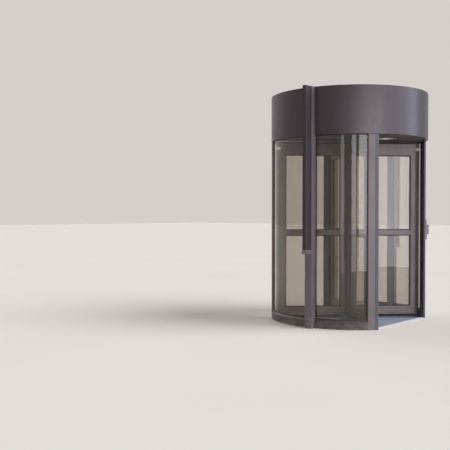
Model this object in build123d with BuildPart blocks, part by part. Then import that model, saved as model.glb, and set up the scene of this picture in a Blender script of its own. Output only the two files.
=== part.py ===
# Revolving security door: a glazed drum with four folding wings that turn about one centre shaft.
# The part stands on the floor with its origin at the drum's bottom centre, +Z up.
# The street is towards -Y, the wall that the drum passes through runs along X. Millimetres and degrees.
from build123d import *
from math import acos, asin, cos, degrees, radians, sin, sqrt
import os

os.makedirs("parts", exist_ok=True)

# Driving dimensions of the drum
opening_height = 2134.0
canopy_height = 533.0
drum_radius = 930.0
canopy_overhang = 2.0
opening_width = 1132.0
running_gap = 0.3
sweep_gap = 13.0

# Posts, with a softer safety edge along each side of both openings
post_depth = 35.0
post_width = 77.0
post_corner = 4.0
edge_width = 46.0
edge_depth = 30.0
edge_round = 12.0
edge_setback = 1.0

# Curved side walls
wall_glass_thickness = 10.0
wall_glass_inset = 4.0
glazing_groove = 8.0
base_rail_height = 100.0
base_rail_chamfer = 18.0

# Jambs where the drum meets the building's wall, and the panels that close the gap beside them
jamb_width = 50.0
jamb_depth = 90.0
jamb_setout = 135.0
jamb_corner = 3.0
filler_width = 100.0
filler_thickness = 40.0
filler_recess = 12.0
filler_pocket = 6.0
filler_foot = 870.0
sill_height = 45.0
sill_slope = 18.0
sill_overhang = 12.0

# Canopy
skin_thickness = 4.0
skin_bend = 4.0
roof_ledge_width = 30.0
ceiling_thickness = 12.0
roof_thickness = 6.0
light_radius = 112.0
light_circle_radius = 520.0
light_rim = 12.0
light_drop = 0.8
light_depth = 60.0
lens_recess = 14.0
light_count = 2
beam_height = 100.0
beam_flange = 50.0
beam_wall = 6.0
beam_clearance = 5.0

# Floor finish inside the drum
floor_thickness = 10.0
threshold_depth = 60.0
threshold_bevel_width = 24.0
threshold_bevel_height = 7.0

# Turning column, with a hanger cross above and below the wings
rest_angle = 46.0
wing_count = 4
shaft_radius = 25.0
shaft_clearance = 5.0
shaft_stub = 10.0
hinge_radius = 57.0
hanger_thickness = 12.0
hanger_arm_radius = 18.0
hanger_hub_radius = 38.0
hinge_pin_radius = 8.0
hinge_pin_length = 30.0
hinge_hole_spare = 2.0
bearing_cup_radius = 75.0
bearing_cup_height = 16.0
bearing_cup_chamfer = 8.0
bearing_floor = 4.0
bearing_barrel_radius = 55.0
bearing_barrel_height = 60.0
bearing_flange_radius = 110.0
bearing_flange_thickness = 12.0
shaft_collar_radius = 45.0
shaft_collar_thickness = 12.0

# Wings
wing_thickness = 45.0
wing_glass_thickness = 6.0
wing_bottom = 45.0
wing_head_gap = 21.0
inner_stile_width = 62.0
outer_stile_width = 56.0
top_rail_height = 138.0
middle_rail_height = 57.0
middle_rail_centre = 1038.0
bottom_rail_height = 98.0
profile_round = 2.5
tip_sweep_width = 54.0
tip_sweep_thickness = 10.0
tip_sweep_root = 8.0
tip_blade_width = 20.0
tip_blade_thickness = 6.0
top_sweep_height = 18.0
bottom_sweep_height = 27.0
edge_sweep_thickness = 8.0
sweep_start = 30.0
sweep_notch_drop = 47.0
sweep_notch_height = 31.0

# Entry reader on the front right post
reader_height = 250.0
reader_width = 58.0
reader_depth = 28.0
reader_centre = 1075.0
reader_round = 14.0
reader_taper = 10.0
reader_head_height = 112.0
reader_head_width = 42.0
reader_head_depth = 24.0
reader_head_round = 8.0
reader_head_taper = 4.0
reader_window_height = 62.0
reader_window_width = 24.0
reader_window_depth = 1.5
reader_window_round = 4.0

# Worked out from the sizes above
total_height = opening_height + canopy_height
post_outer = drum_radius - canopy_overhang
post_inner = post_outer - post_depth
opening_angle = degrees(asin(opening_width / 2 / post_outer))
edge_angle = degrees(edge_width / post_outer)
post_angle = degrees(post_width / post_outer)
post_start = opening_angle + edge_angle
post_end = post_start + post_angle
glass_inner = post_inner + wall_glass_inset
glass_outer = glass_inner + wall_glass_thickness
jamb_front = -jamb_setout
jamb_back = jamb_front + jamb_depth
jamb_middle = (jamb_front + jamb_back) / 2
jamb_outer = drum_radius + jamb_width
ceiling_bottom = opening_height + skin_thickness
ceiling_top = ceiling_bottom + ceiling_thickness
roof_bottom = total_height - roof_thickness
canopy_inner = drum_radius - skin_thickness
tip_radius = post_inner - sweep_gap
outer_stile_end = tip_radius - tip_sweep_width
outer_stile_start = outer_stile_end - outer_stile_width
inner_stile_start = hinge_radius - wing_thickness / 2
inner_stile_end = inner_stile_start + inner_stile_width
rail_length = outer_stile_start - inner_stile_end
wing_top = opening_height - wing_head_gap
middle_rail_bottom = middle_rail_centre - middle_rail_height / 2
middle_rail_top = middle_rail_centre + middle_rail_height / 2
glass_bottom = wing_bottom + bottom_rail_height
glass_top = wing_top - top_rail_height
upper_hanger_bottom = wing_top + running_gap
lower_hanger_top = wing_bottom - running_gap
beam_top = ceiling_top + beam_height
beam_inner = bearing_barrel_radius + beam_clearance
beam_outer = beam_inner + beam_flange
beam_length = 2 * (sqrt(post_inner**2 - beam_outer**2) - running_gap)
flange_top = beam_top + bearing_flange_thickness
shaft_top = flange_top + running_gap + shaft_collar_thickness + shaft_stub
bearing_bore = shaft_radius + running_gap
groove_angle = degrees(glazing_groove / glass_outer)
edge_outer = post_outer - edge_setback
edge_inner = edge_outer - edge_depth
jamb_angle = degrees(acos(-jamb_middle / post_inner))
filler_front = jamb_front + filler_recess
filler_back = filler_front + filler_thickness
filler_middle = (filler_front + filler_back) / 2
filler_start = jamb_outer - filler_pocket
filler_end = jamb_outer + filler_width
street_chord = sqrt(post_outer**2 - (opening_width / 2) ** 2)
mat_reach = street_chord - threshold_depth
floor_radius = post_inner - running_gap
reader_angle = (post_start + post_end) / 2
hinge_round = wing_thickness / 2 - running_gap
hinge_hole_depth = hinge_pin_length + hinge_hole_spare
sweep_bottom = wing_bottom - bottom_sweep_height
sweep_top = wing_top + top_sweep_height
notch_top = wing_top - sweep_notch_drop
notch_bottom = notch_top - sweep_notch_height
tip_carrier_width = tip_sweep_width - tip_blade_width
edge_sweep_start = hinge_radius + sweep_start
edge_sweep_end = outer_stile_end - running_gap


def at(radius, angle):
    """Plan point at a radius, turned by an angle from the street side towards +X."""
    return (radius * sin(radians(angle)), -radius * cos(radians(angle)))


def sector(inner, outer, start, end):
    """Adds a piece of a ring to the sketch, between two radii and two angles."""
    middle = (start + end) / 2
    with BuildLine() as outline:
        ThreePointArc(at(outer, start), at(outer, middle), at(outer, end))
        Line(at(outer, end), at(inner, end))
        ThreePointArc(at(inner, end), at(inner, middle), at(inner, start))
        Line(at(inner, start), at(outer, start))
    make_face(outline.edges())


def jamb_outline(side, clearance=0.0):
    """Adds a jamb's footprint to the sketch: flat towards the wall, curved with the drum inside."""
    front = jamb_front - clearance
    back = jamb_back + clearance
    inner = post_inner - clearance
    outer = jamb_outer + clearance
    front_root = (side * sqrt(inner**2 - front**2), front)
    back_root = (side * sqrt(inner**2 - back**2), back)
    with BuildLine() as outline:
        Polyline(front_root, (side * outer, front), (side * outer, back), back_root)
        ThreePointArc(back_root, at(inner, side * jamb_angle), front_root)
    make_face(outline.edges())


def sill_outline(clearance=0.0):
    """Adds the sloping sill's section to an upright sketch across the wall's depth."""
    front = filler_front - sill_overhang - clearance
    back = filler_back + sill_overhang + clearance
    shoulder = filler_foot - sill_slope
    foot = filler_foot - sill_height - clearance
    with BuildLine() as outline:
        Polyline(
            (front, shoulder),
            (filler_front - clearance, filler_foot),
            (filler_back + clearance, filler_foot),
            (back, shoulder),
            (back, foot),
            (front, foot),
            close=True,
        )
    make_face(outline.edges())


def finish(piece, name):
    """Labels a finished piece and writes its file."""
    piece.label = name
    export_step(piece, f"parts/{name}.step")


# The side walls come in four quarters, each named by its side (-1 left, 1 right) and end (-1 street, 1 inside)
quarters = {
    "front_left": (-1, -1),
    "front_right": (1, -1),
    "rear_left": (-1, 1),
    "rear_right": (1, 1),
}


def turned(quarter, angle):
    """Angle in one quarter of a feature that lies at this angle in the front right one."""
    side, end = quarter
    return side * angle if end < 0 else side * (180.0 - angle)


def cut_at_jamb(end, depth=0.0):
    """Keeps what lies on the street side of the jambs (-1) or behind them (1), less a groove's depth."""
    face = jamb_front + depth if end < 0 else jamb_back - depth
    kept = Keep.TOP if end < 0 else Keep.BOTTOM
    split(bisect_by=Plane.XZ.offset(-face), keep=kept)


# Posts beside the two openings, each with a groove for the edge of its curved glass
for name, quarter in quarters.items():
    groove_start = turned(quarter, post_end - groove_angle)
    with BuildPart() as post:
        with BuildSketch():
            sector(post_inner, post_outer, turned(quarter, post_start), turned(quarter, post_end))
            fillet(vertices(), post_corner)
        extrude(amount=opening_height)
        with BuildSketch():
            sector(glass_inner, glass_outer, groove_start, turned(quarter, post_end + groove_angle))
        extrude(amount=opening_height, mode=Mode.SUBTRACT)
    finish(post.part, f"{name}_post")

# Safety edges along both sides of the openings, with their free side rounded
with BuildPart() as safety_edges:
    with BuildSketch():
        for quarter in quarters.values():
            with BuildSketch(mode=Mode.PRIVATE) as profile:
                sector(edge_inner, edge_outer, turned(quarter, opening_angle), turned(quarter, post_start))
                free_side = profile.vertices().sort_by(lambda corner: abs(corner.X))[:2]
                fillet(free_side, edge_round)
            add(profile.sketch)
    extrude(amount=opening_height)
finish(safety_edges.part, "safety_edges")

# Curved glass walls, held in grooves of the post, the jamb and the base rail
for name, quarter in quarters.items():
    side, end = quarter
    with BuildPart() as wall_glass:
        with BuildSketch(Plane.XY.offset(base_rail_height - glazing_groove)):
            sector(glass_inner, glass_outer, turned(quarter, post_end - groove_angle), side * jamb_angle)
        extrude(amount=opening_height - base_rail_height + glazing_groove)
        cut_at_jamb(end, glazing_groove)
    finish(wall_glass.part, f"{name}_glass")

# Base rails under the curved glass
for side_name, side in (("left", -1), ("right", 1)):
    with BuildPart() as base_rails:
        for end in (-1, 1):
            start = turned((side, end), post_end)
            with BuildPart(mode=Mode.PRIVATE) as rail:
                with BuildSketch():
                    sector(post_inner, post_outer, start, side * jamb_angle)
                extrude(amount=base_rail_height)
                top_edges = rail.faces().sort_by(Axis.Z)[-1].edges().filter_by(GeomType.CIRCLE)
                chamfer(top_edges.sort_by(SortBy.RADIUS)[-1], base_rail_chamfer)
                with BuildSketch(Plane.XY.offset(base_rail_height)):
                    sector(glass_inner, glass_outer, start, side * jamb_angle)
                extrude(amount=-glazing_groove, mode=Mode.SUBTRACT)
                cut_at_jamb(end)
            add(rail.part)
    finish(base_rails.part, f"{side_name}_base_rails")

# Jambs where the drum meets the wall, as tall as the canopy
for side_name, side in (("left", -1), ("right", 1)):
    with BuildPart() as jamb:
        with BuildSketch():
            jamb_outline(side)
        extrude(amount=total_height)
        fillet(jamb.edges().filter_by(Axis.Z).group_by(Axis.X)[0 if side < 0 else -1], jamb_corner)
        with BuildSketch(Plane.XY.offset(base_rail_height - glazing_groove)):
            sector(glass_inner, glass_outer, turned((side, -1), post_end), turned((side, 1), post_end))
            with Locations((0, jamb_middle)):
                Rectangle(2 * jamb_outer, jamb_depth - 2 * glazing_groove, mode=Mode.SUBTRACT)
        extrude(amount=opening_height - base_rail_height + glazing_groove, mode=Mode.SUBTRACT)
        with BuildSketch(Plane.YZ.offset(side * jamb_outer)):
            sill_outline(running_gap)
            with Locations((filler_middle, (filler_foot + total_height) / 2)):
                Rectangle(filler_thickness + 2 * running_gap, total_height - filler_foot)
        extrude(amount=-side * filler_pocket, mode=Mode.SUBTRACT)
    finish(jamb.part, f"{side_name}_wall_jamb")

# Filler panels that close the gap between each jamb and the wall, set into the jamb, on sloping sills
for side_name, side in (("left", -1), ("right", 1)):
    with BuildPart() as filler:
        with BuildSketch(Plane.XY.offset(filler_foot)):
            with Locations((side * (filler_start + filler_end) / 2, filler_middle)):
                Rectangle(filler_end - filler_start, filler_thickness)
        extrude(amount=total_height - filler_foot)
    finish(filler.part, f"{side_name}_filler_panel")

with BuildPart() as filler_sills:
    for side in (-1, 1):
        with BuildSketch(Plane.YZ.offset(side * filler_start)):
            sill_outline()
        extrude(amount=side * (filler_end - filler_start))
finish(filler_sills.part, "filler_sills")

# Canopy skins: one sheet with a soffit ledge below, a roof ledge near the top and a lip round the roof
for end_name, end in (("front", -1), ("rear", 1)):
    with BuildPart() as fascia:
        with BuildSketch(Plane.XZ):
            with BuildLine() as outline:
                Polyline(
                    (post_inner, opening_height),
                    (drum_radius, opening_height),
                    (drum_radius, total_height),
                    (canopy_inner, total_height),
                    (canopy_inner, roof_bottom),
                    (canopy_inner - roof_ledge_width, roof_bottom),
                    (canopy_inner - roof_ledge_width, roof_bottom - skin_thickness),
                    (canopy_inner, roof_bottom - skin_thickness),
                    (canopy_inner, ceiling_bottom),
                    (post_inner, ceiling_bottom),
                    close=True,
                )
            make_face(outline.edges())
            fillet(vertices().group_by(Axis.X)[-1].sort_by(Axis.Y)[0], skin_bend)
        revolve(axis=Axis.Z)
        cut_at_jamb(end)
    finish(fascia.part, f"{end_name}_fascia")


def canopy_disc():
    """Adds a disc that lies inside the canopy's skin, notched for the jambs."""
    Circle(canopy_inner - running_gap)
    for side in (-1, 1):
        with BuildSketch(mode=Mode.PRIVATE) as notch:
            jamb_outline(side, running_gap)
        add(notch.sketch, mode=Mode.SUBTRACT)


# Ceiling on the soffit ledge, cut for the shaft and the two lights
light_places = PolarLocations(light_circle_radius, light_count, start_angle=-90)
with BuildPart() as ceiling:
    with BuildSketch(Plane.XY.offset(ceiling_bottom)):
        canopy_disc()
        Circle(shaft_radius + shaft_clearance, mode=Mode.SUBTRACT)
        with light_places:
            Circle(light_radius - light_rim + running_gap, mode=Mode.SUBTRACT)
    extrude(amount=ceiling_thickness)
finish(ceiling.part, "ceiling")

# Recessed lights, each with a rim under the ceiling and a lens set up inside it
with BuildPart() as ceiling_lights:
    with BuildSketch(Plane.XY.offset(ceiling_bottom - light_drop)):
        with light_places:
            Circle(light_radius)
    extrude(amount=light_drop)
    with BuildSketch(Plane.XY.offset(ceiling_bottom)):
        with light_places:
            Circle(light_radius - light_rim)
    extrude(amount=light_depth)
    with BuildSketch(Plane.XY.offset(ceiling_bottom - light_drop)):
        with light_places:
            Circle(light_radius - 2 * light_rim)
    extrude(amount=lens_recess, mode=Mode.SUBTRACT)
finish(ceiling_lights.part, "ceiling_lights")

# Roof sheet on the upper ledge
with BuildPart() as canopy_roof:
    with BuildSketch(Plane.XY.offset(roof_bottom)):
        canopy_disc()
    extrude(amount=roof_thickness)
finish(canopy_roof.part, "canopy_roof")

# Two channels across the canopy that carry the upper bearing
with BuildPart() as canopy_beams:
    for side in (-1, 1):
        with BuildSketch(Plane.YZ.offset(-beam_length / 2)):
            with BuildLine() as outline:
                Polyline(
                    (side * beam_inner, ceiling_top),
                    (side * beam_outer, ceiling_top),
                    (side * beam_outer, ceiling_top + beam_wall),
                    (side * (beam_inner + beam_wall), ceiling_top + beam_wall),
                    (side * (beam_inner + beam_wall), beam_top - beam_wall),
                    (side * beam_outer, beam_top - beam_wall),
                    (side * beam_outer, beam_top),
                    (side * beam_inner, beam_top),
                    close=True,
                )
            make_face(outline.edges())
        extrude(amount=beam_length)
finish(canopy_beams.part, "canopy_beams")

# Upper bearing: a flange on the channels and a barrel that hangs between them
with BuildPart() as upper_bearing:
    with BuildSketch(Plane.XZ):
        with BuildLine() as outline:
            Polyline(
                (bearing_bore, beam_top - bearing_barrel_height),
                (bearing_barrel_radius, beam_top - bearing_barrel_height),
                (bearing_barrel_radius, beam_top),
                (bearing_flange_radius, beam_top),
                (bearing_flange_radius, flange_top),
                (bearing_bore, flange_top),
                close=True,
            )
        make_face(outline.edges())
    revolve(axis=Axis.Z)
finish(upper_bearing.part, "upper_bearing")

# Floor bearing: a low cup that the shaft's foot turns in
with BuildPart() as floor_bearing:
    with BuildSketch(Plane.XZ):
        with BuildLine() as outline:
            Polyline(
                (0, 0),
                (bearing_cup_radius, 0),
                (bearing_cup_radius, floor_thickness),
                (bearing_cup_radius - bearing_cup_chamfer, bearing_cup_height),
                (bearing_bore, bearing_cup_height),
                (bearing_bore, bearing_floor),
                (0, bearing_floor),
                close=True,
            )
        make_face(outline.edges())
    revolve(axis=Axis.Z)
finish(floor_bearing.part, "floor_bearing")

# Entrance mat inside the drum, straight along both thresholds
with BuildPart() as floor_mat:
    with BuildSketch():
        Circle(floor_radius)
        Rectangle(2 * drum_radius, 2 * mat_reach, mode=Mode.INTERSECT)
        Circle(bearing_cup_radius + running_gap, mode=Mode.SUBTRACT)
    extrude(amount=floor_thickness)
finish(floor_mat.part, "floor_mat")

# Straight thresholds between the posts of each opening, bevelled towards the outside
with BuildPart() as thresholds:
    with BuildSketch():
        for end in (-1, 1):
            inner_corner = (floor_radius * sin(radians(opening_angle)), floor_radius * cos(radians(opening_angle)))
            mat_corner = sqrt(floor_radius**2 - mat_reach**2)
            between = asin(mat_reach / floor_radius) / 2 + radians(90 - opening_angle) / 2
            bulge = (floor_radius * cos(between), floor_radius * sin(between))
            half_width = opening_width / 2 - running_gap
            with BuildLine() as outline:
                for side in (-1, 1):
                    Line((side * half_width, end * street_chord), (side * inner_corner[0], end * inner_corner[1]))
                    ThreePointArc(
                        (side * inner_corner[0], end * inner_corner[1]),
                        (side * bulge[0], end * bulge[1]),
                        (side * mat_corner, end * mat_reach),
                    )
                Line((-mat_corner, end * mat_reach), (mat_corner, end * mat_reach))
                Line((-half_width, end * street_chord), (half_width, end * street_chord))
            make_face(outline.edges())
    extrude(amount=floor_thickness)
    with BuildSketch(Plane.YZ.offset(-opening_width / 2)):
        for end in (-1, 1):
            with BuildLine() as wedge:
                Polyline(
                    (end * street_chord, floor_thickness),
                    (end * (street_chord - threshold_bevel_width), floor_thickness),
                    (end * street_chord, floor_thickness - threshold_bevel_height),
                    close=True,
                )
            make_face(wedge.edges())
    extrude(amount=opening_width, mode=Mode.SUBTRACT)
finish(thresholds.part, "thresholds")

# Entry reader on the outer face of the front right post: a housing with a raised head and its window
reader_plane = Plane(
    origin=(*at(post_outer + running_gap, reader_angle), reader_centre),
    x_dir=(cos(radians(reader_angle)), sin(radians(reader_angle)), 0),
    z_dir=(*at(1, reader_angle), 0),
)
with BuildPart() as entry_reader:
    with BuildSketch(reader_plane):
        RectangleRounded(reader_width, reader_height, reader_round)
    extrude(amount=reader_depth, taper=reader_taper)
    with BuildSketch(reader_plane.offset(reader_depth)):
        RectangleRounded(reader_head_width, reader_head_height, reader_head_round)
    extrude(amount=reader_head_depth, taper=reader_head_taper)
    with BuildSketch(reader_plane.offset(reader_depth + reader_head_depth)):
        RectangleRounded(reader_window_width, reader_window_height, reader_window_round)
    extrude(amount=-reader_window_depth, mode=Mode.SUBTRACT)
finish(entry_reader.part, "entry_reader")

# Centre shaft, hung by a collar on the upper bearing
with BuildPart() as centre_shaft:
    with BuildSketch(Plane.XY.offset(bearing_floor + running_gap)):
        Circle(shaft_radius)
    extrude(amount=shaft_top - bearing_floor - running_gap)
    with BuildSketch(Plane.XY.offset(flange_top + running_gap)):
        Circle(shaft_collar_radius)
    extrude(amount=shaft_collar_thickness)
finish(centre_shaft.part, "centre_shaft")

# Hanger crosses above and below the wings, with a hinge pin at the end of each arm
for name, bottom, pin_end in (
    ("upper_hanger", upper_hanger_bottom, wing_top - hinge_pin_length),
    ("lower_hanger", lower_hanger_top - hanger_thickness, wing_bottom + hinge_pin_length),
):
    arm_start = rest_angle - 90.0
    with BuildPart() as hanger:
        with BuildSketch(Plane.XY.offset(bottom)):
            Circle(hanger_hub_radius)
            with PolarLocations(hinge_radius / 2, wing_count, start_angle=arm_start):
                SlotCenterToCenter(hinge_radius, 2 * hanger_arm_radius)
            Circle(shaft_radius + running_gap, mode=Mode.SUBTRACT)
        extrude(amount=hanger_thickness)
        middle = bottom + hanger_thickness / 2
        with BuildSketch(Plane.XY.offset(middle)):
            with PolarLocations(hinge_radius, wing_count, start_angle=arm_start):
                Circle(hinge_pin_radius)
        extrude(amount=pin_end - middle)
    finish(hanger.part, name)


def plan_plane(angle, height):
    """Plan of a wing at a height, with X along the wing."""
    return Plane(origin=(0, 0, height), x_dir=(*at(1, angle), 0), z_dir=(0, 0, 1))


def rail_plane(angle, radius):
    """Upright section across a wing at a radius, with Y up."""
    across = (cos(radians(angle)), sin(radians(angle)), 0)
    return Plane(origin=(*at(radius, angle), 0), x_dir=across, z_dir=(*at(1, angle), 0))


# Rails of a wing as (bottom, top), and its panes as the openings between them
rails = (
    (wing_bottom, glass_bottom),
    (middle_rail_bottom, middle_rail_top),
    (glass_top, wing_top),
)
panes = ((glass_bottom, middle_rail_bottom), (middle_rail_top, glass_top))

for number in range(wing_count):
    angle = rest_angle + number * 360.0 / wing_count
    wing = f"wing_{number + 1}"

    # Stiles: the inner one is rounded about its hinge, the outer one is slotted for the sweep
    with BuildPart() as stiles:
        with BuildSketch(plan_plane(angle, wing_bottom)):
            with BuildSketch(mode=Mode.PRIVATE) as inner_profile:
                with Locations((inner_stile_end - inner_stile_width / 2, 0)):
                    Rectangle(inner_stile_width, wing_thickness)
                fillet(inner_profile.vertices().group_by(Axis.X)[0], hinge_round)
                fillet(inner_profile.vertices().group_by(Axis.X)[-1], profile_round)
            with BuildSketch(mode=Mode.PRIVATE) as outer_profile:
                with Locations((outer_stile_end - outer_stile_width / 2, 0)):
                    Rectangle(outer_stile_width, wing_thickness)
                fillet(outer_profile.vertices(), profile_round)
            add(inner_profile.sketch)
            add(outer_profile.sketch)
            with Locations(((inner_stile_end + outer_stile_start) / 2, 0)):
                Rectangle(rail_length + 2 * glazing_groove, wing_glass_thickness, mode=Mode.SUBTRACT)
            with Locations((outer_stile_end, 0)):
                Rectangle(2 * tip_sweep_root, tip_sweep_thickness, mode=Mode.SUBTRACT)
        extrude(amount=wing_top - wing_bottom)
        with BuildSketch(plan_plane(angle, wing_bottom)):
            with Locations((hinge_radius, 0)):
                Circle(hinge_pin_radius + running_gap)
        extrude(amount=hinge_hole_depth, mode=Mode.SUBTRACT)
        with BuildSketch(plan_plane(angle, wing_top)):
            with Locations((hinge_radius, 0)):
                Circle(hinge_pin_radius + running_gap)
        extrude(amount=-hinge_hole_depth, mode=Mode.SUBTRACT)
    finish(stiles.part, f"{wing}_stiles")

    # Rails: top, middle and bottom, grooved for the panes
    with BuildPart() as rail_set:
        with BuildSketch(rail_plane(angle, inner_stile_end)):
            for bottom, top in rails:
                with BuildSketch(mode=Mode.PRIVATE) as section:
                    with Locations((0, (bottom + top) / 2)):
                        Rectangle(wing_thickness, top - bottom)
                    fillet(section.vertices(), profile_round)
                add(section.sketch)
            for bottom, top in panes:
                with Locations((0, (bottom + top) / 2)):
                    Rectangle(wing_glass_thickness, top - bottom + 2 * glazing_groove, mode=Mode.SUBTRACT)
        extrude(amount=rail_length)
    finish(rail_set.part, f"{wing}_rails")

    # Panes, seated in the grooves on all four sides
    with BuildPart() as glass:
        with BuildSketch(rail_plane(angle, inner_stile_end - glazing_groove)):
            for bottom, top in panes:
                with Locations((0, (bottom + top) / 2)):
                    Rectangle(wing_glass_thickness, top - bottom + 2 * glazing_groove)
        extrude(amount=rail_length + 2 * glazing_groove)
    finish(glass.part, f"{wing}_glass")

    # Sweeps: one upright at the tip, a carrier with a thinner blade, in two lengths with a gap
    # below the top rail's edge, one along the top and one along the bottom
    with BuildPart() as sweeps:
        with BuildSketch(plan_plane(angle, sweep_bottom)):
            with Locations((outer_stile_end + tip_carrier_width / 2, 0)):
                Rectangle(tip_carrier_width, tip_sweep_thickness)
            with Locations((tip_radius - tip_sweep_width / 2, 0)):
                Rectangle(tip_sweep_width, tip_blade_thickness)
        extrude(amount=sweep_top - sweep_bottom)
        with BuildSketch(plan_plane(angle, wing_bottom + running_gap)):
            with Locations((outer_stile_end - tip_sweep_root / 2, 0)):
                Rectangle(tip_sweep_root, tip_sweep_thickness)
        extrude(amount=wing_top - wing_bottom - 2 * running_gap)
        with BuildSketch(plan_plane(angle, notch_bottom)):
            with Locations((tip_radius - tip_sweep_width / 2, 0)):
                Rectangle(tip_sweep_width + 2 * tip_sweep_root, tip_sweep_thickness)
        extrude(amount=sweep_notch_height, mode=Mode.SUBTRACT)
        for bottom, top in ((sweep_bottom, wing_bottom), (wing_top, sweep_top)):
            with BuildSketch(plan_plane(angle, bottom)):
                with Locations(((edge_sweep_start + edge_sweep_end) / 2, 0)):
                    Rectangle(edge_sweep_end - edge_sweep_start, edge_sweep_thickness)
            extrude(amount=top - bottom)
    finish(sweeps.part, f"{wing}_sweeps")
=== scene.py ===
# %% [markdown]
# # Dressing a revolving door
#
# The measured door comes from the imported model: a round drum with four folding wings under a tall canopy.
# Its shapes are right already, so this lesson gives every part its finish and adds what is too fine for
# the solids: rubber gaskets, brushes, the ribbed mat, lamp lenses and screws.
# All lengths are in metres, in the model's own frame: the drum's bottom centre is the origin, the street
# is towards -Y and +Z is up.

from math import acos, cos, degrees, hypot, pi, radians, sin

import bmesh
import bpy
from mathutils import Matrix, Vector


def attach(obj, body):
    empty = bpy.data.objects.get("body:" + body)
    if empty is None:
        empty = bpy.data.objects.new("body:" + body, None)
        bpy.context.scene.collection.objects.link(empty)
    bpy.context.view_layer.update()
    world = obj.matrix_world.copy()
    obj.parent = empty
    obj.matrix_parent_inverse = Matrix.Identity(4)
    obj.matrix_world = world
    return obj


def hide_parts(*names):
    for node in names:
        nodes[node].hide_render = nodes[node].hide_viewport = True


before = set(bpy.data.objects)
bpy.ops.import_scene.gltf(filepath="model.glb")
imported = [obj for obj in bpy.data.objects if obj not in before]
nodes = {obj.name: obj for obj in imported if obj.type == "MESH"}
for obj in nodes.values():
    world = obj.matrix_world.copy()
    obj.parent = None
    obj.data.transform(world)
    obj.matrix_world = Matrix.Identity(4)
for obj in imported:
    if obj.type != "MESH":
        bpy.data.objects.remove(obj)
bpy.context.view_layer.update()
scene = bpy.context.scene
bpy.ops.object.select_all(action="DESELECT")

# %% [markdown]
# ## Measuring the solids
#
# A gasket or a brush has to sit exactly where the solid leaves room for it. Its place could be written down
# a second time, but then two numbers have to be kept alike, so it is measured on the solids. The drum is
# round and the wings stand at an angle, so a box round a part says little here. Its corners are measured by
# their distance from the shaft, or by how far they lie along the first wing.

# %% Measures of a solid
WINGS = 4
REST_ANGLE = 46.0


def outwards(angle, distance, height):
    """Point at a distance from the shaft, turned from the street side towards +X."""
    a = radians(angle)
    return Vector((distance * sin(a), -distance * cos(a), height))


def span(name, measure):
    """The least and greatest measure of a solid's corners, to a tenth of a millimetre."""
    solid = nodes[name]
    found = [measure(solid.matrix_world @ corner.co) for corner in solid.data.vertices]
    return round(min(found), 4), round(max(found), 4)


def levels(name):
    """The heights at which a solid has corners."""
    solid = nodes[name]
    return sorted({round((solid.matrix_world @ corner.co).z, 4) for corner in solid.data.vertices})


def reach_of(point):
    """How far a point lies from the shaft's axis."""
    return hypot(point.x, point.y)


def along_wing(point):
    """How far a point lies from the shaft's axis along the first wing."""
    return point.dot(outwards(REST_ANGLE, 1.0, 0.0))


def depth_of(point):
    """How far indoors a point lies."""
    return point.y


def height_of(point):
    """How high above the floor a point lies."""
    return point.z


POST_INNER = span("front_left_post", reach_of)[0]
GLASS_INNER, GLASS_OUTER = span("front_left_glass", reach_of)
MAT_TOP = span("floor_mat", height_of)[1]
print("posts from", POST_INNER, "curved glass", GLASS_INNER, "to", GLASS_OUTER, "mat top", MAT_TOP)

# %% [markdown]
# ## The camera
#
# The photo was taken with a wide lens from the street, about 8.8 m away at eye height. The door stood near
# the edge of that wide picture, which stretches it sideways. A lens shift could repeat that, but it would
# push the door out of every other view. A camera in the same place that is turned towards the door shows
# the same sides of it and overlaps them in the same way.

# %% Place the camera
FRAME_SIDE = 450
FOCAL_PIXELS = 718.0
SENSOR = 36.0
VIEW_DEPTH = 200.0
CAMERA_PLACE = Vector((-7.538, -4.618, 1.281))
CAMERA_YAW, CAMERA_PITCH = 48.77, -1.0
bpy.ops.object.camera_add(
    location=CAMERA_PLACE,
    rotation=(radians(90 + CAMERA_PITCH), 0, radians(-CAMERA_YAW)),
)
camera = bpy.context.object
camera.name = "street_camera"
camera.data.sensor_width = SENSOR
camera.data.lens = FOCAL_PIXELS / FRAME_SIDE * SENSOR
camera.data.clip_end = VIEW_DEPTH
scene.camera = camera
print("camera", round(reach_of(CAMERA_PLACE), 2), "m from the shaft, lens", round(camera.data.lens, 1), "mm")

# %% [markdown]
# ## The light
#
# An open porch has one broad bright side, the street, and soft light from everywhere else. A far lamp that
# is very wide gives the first: it comes from the street's right and its shadows have no hard edge. A weaker
# one lights the indoor half. A sun lamp is used because its light is the same all over the door, where a
# near lamp would fade from one side to the other.


# %% Soft lamps
SUN_DISTANCE = 8.0


def soft_sun(name, angle, elevation, level, spread):
    """A far, wide lamp. The level is how bright it makes a white card that faces it."""
    rise = radians(elevation)
    place = outwards(angle, SUN_DISTANCE * cos(rise), SUN_DISTANCE * sin(rise))
    bpy.ops.object.light_add(type="SUN", location=place)
    lamp = bpy.context.object
    lamp.name = name
    lamp.rotation_euler = (-place).to_track_quat("-Z", "Y").to_euler()
    lamp.data.energy = level * pi
    lamp.data.angle = radians(spread)
    print("lamp", name)


soft_sun("street_light", angle=30, elevation=47, level=0.73, spread=44)
soft_sun("indoor_light", angle=175, elevation=42, level=0.20, spread=60)

# %% [markdown]
# ## Soft boxes for the reflections
#
# Satin metal and glass look like what they mirror. Tall soft boxes stand where they mirror them towards the
# camera: a wide one and a narrow blue one draw the sheen and the highlight down the canopy, and three more
# stand side by side with gaps between, as pale bands in the curved glass. These three have a dimmer part
# below, because glass mirrors what stands near the ground there. Only reflections show the boxes, so they
# don't brighten the door's colours.


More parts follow.
